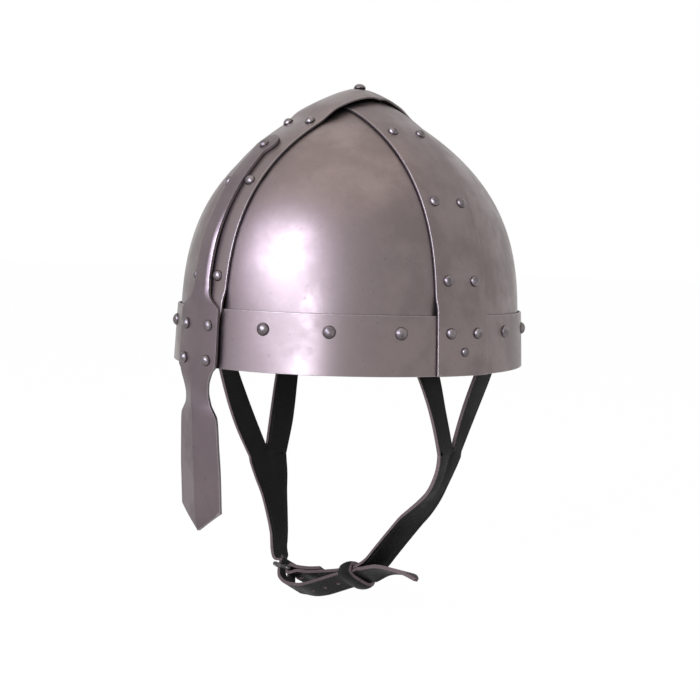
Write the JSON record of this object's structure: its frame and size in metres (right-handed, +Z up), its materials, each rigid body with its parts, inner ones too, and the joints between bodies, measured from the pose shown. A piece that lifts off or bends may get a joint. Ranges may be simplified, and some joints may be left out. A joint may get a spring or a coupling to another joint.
{
  "type": "spangenhelm",
  "caption": "Riveted steel helmet of curved plates under crossed bands and a brow band, with a long nose guard, leather liner and buckled chin strap.",
  "frame": {"origin": "middle of the bowl's rim, level with the brow band's lower edge", "axes": "+Z up through the crown, the face looks along -Y and the wearer's left is +X"},
  "size_m": [0.213, 0.2399, 0.3335],
  "materials": {
    "bowl_steel": "satin, lightly brushed",
    "guard_steel": "satin",
    "rivet_steel": "hammered heads, satin",
    "strap_leather": "black grain with brown cut edges",
    "liner_leather": "dark brown, matt",
    "buckle_metal": "dark, worn"
  },
  "bodies": {
    "shell": {"dome_plate_front_left": "bowl_steel", "dome_plate_front_right": "bowl_steel", "dome_plate_rear_left": "bowl_steel", "dome_plate_rear_right": "bowl_steel", "brow_band": "bowl_steel", "crest_band": "bowl_steel", "side_band": "bowl_steel", "nasal_guard": "guard_steel", "liner": "liner_leather", "liner_lace": "strap_leather", "crown_rivet": "rivet_steel", "crest_front_left_rivet_1": "rivet_steel", "crest_front_left_rivet_2": "rivet_steel", "crest_front_left_rivet_3": "rivet_steel", "side_left_front_rivet_1": "rivet_steel", "side_left_front_rivet_2": "rivet_steel", "side_left_front_rivet_3": "rivet_steel", "side_foot_left_front_rivet": "rivet_steel", "crest_foot_front_left_rivet": "rivet_steel", "crest_front_right_rivet_1": "rivet_steel", "crest_front_right_rivet_2": "rivet_steel", "crest_front_right_rivet_3": "rivet_steel", "side_right_front_rivet_1": "rivet_steel", "side_right_front_rivet_2": "rivet_steel", "side_right_front_rivet_3": "rivet_steel", "side_foot_right_front_rivet": "rivet_steel", "crest_foot_front_right_rivet": "rivet_steel", "crest_rear_left_rivet_1": "rivet_steel", "crest_rear_left_rivet_2": "rivet_steel", "crest_rear_left_rivet_3": "rivet_steel", "side_left_rear_rivet_1": "rivet_steel", "side_left_rear_rivet_2": "rivet_steel", "side_left_rear_rivet_3": "rivet_steel", "side_foot_left_rear_rivet": "rivet_steel", "crest_foot_rear_left_rivet": "rivet_steel", "crest_rear_right_rivet_1": "rivet_steel", "crest_rear_right_rivet_2": "rivet_steel", "crest_rear_right_rivet_3": "rivet_steel", "side_right_rear_rivet_1": "rivet_steel", "side_right_rear_rivet_2": "rivet_steel", "side_right_rear_rivet_3": "rivet_steel", "side_foot_right_rear_rivet": "rivet_steel", "crest_foot_rear_right_rivet": "rivet_steel", "side_foot_left_low_rivet": "rivet_steel", "guard_low_left_rivet": "rivet_steel", "side_foot_right_low_rivet": "rivet_steel", "guard_low_right_rivet": "rivet_steel", "crest_foot_rear_low_rivet": "rivet_steel", "guard_tip_rivet": "rivet_steel", "strap_left_front_rivet": "rivet_steel", "strap_left_rear_rivet": "rivet_steel", "strap_right_front_rivet": "rivet_steel", "strap_right_rear_rivet": "rivet_steel"},
    "chin_strap": {"left_strap_fork": "strap_leather", "right_strap_fork": "strap_leather", "left_strap": "strap_leather", "right_strap": "strap_leather"},
    "buckle": {"buckle_frame": "buckle_metal"},
    "tongue": {"buckle_tongue": "buckle_metal"},
    "keeper": {"strap_keeper": "strap_leather"}
  },
  "joints": [
    {"name": "chin_strap_swing", "type": "hinge", "parent": "shell", "child": "chin_strap", "pos_m": [0, 0.0006, 0], "axis": [1, 0, 0], "range_deg": [-15, 15], "deforming": ["left_strap_fork", "right_strap_fork"]},
    {"name": "buckle_frame_rock", "type": "hinge", "parent": "chin_strap", "child": "buckle", "pos_m": [-0.0512, 0.00352, -0.1512], "axis": [-0.0547, -0.86, 0.5073], "range_deg": [-3, 3]},
    {"name": "buckle_tongue_lift", "type": "hinge", "parent": "buckle", "child": "tongue", "pos_m": [-0.0512, 0.00352, -0.1512], "axis": [-0.0547, -0.86, 0.5073], "range_deg": [0, 6]},
    {"name": "keeper_slide", "type": "slide", "parent": "chin_strap", "child": "keeper", "axis": [-0.9244, 0.0345, -0.3799], "range_m": [-0.002, 0.004]}
  ]
}
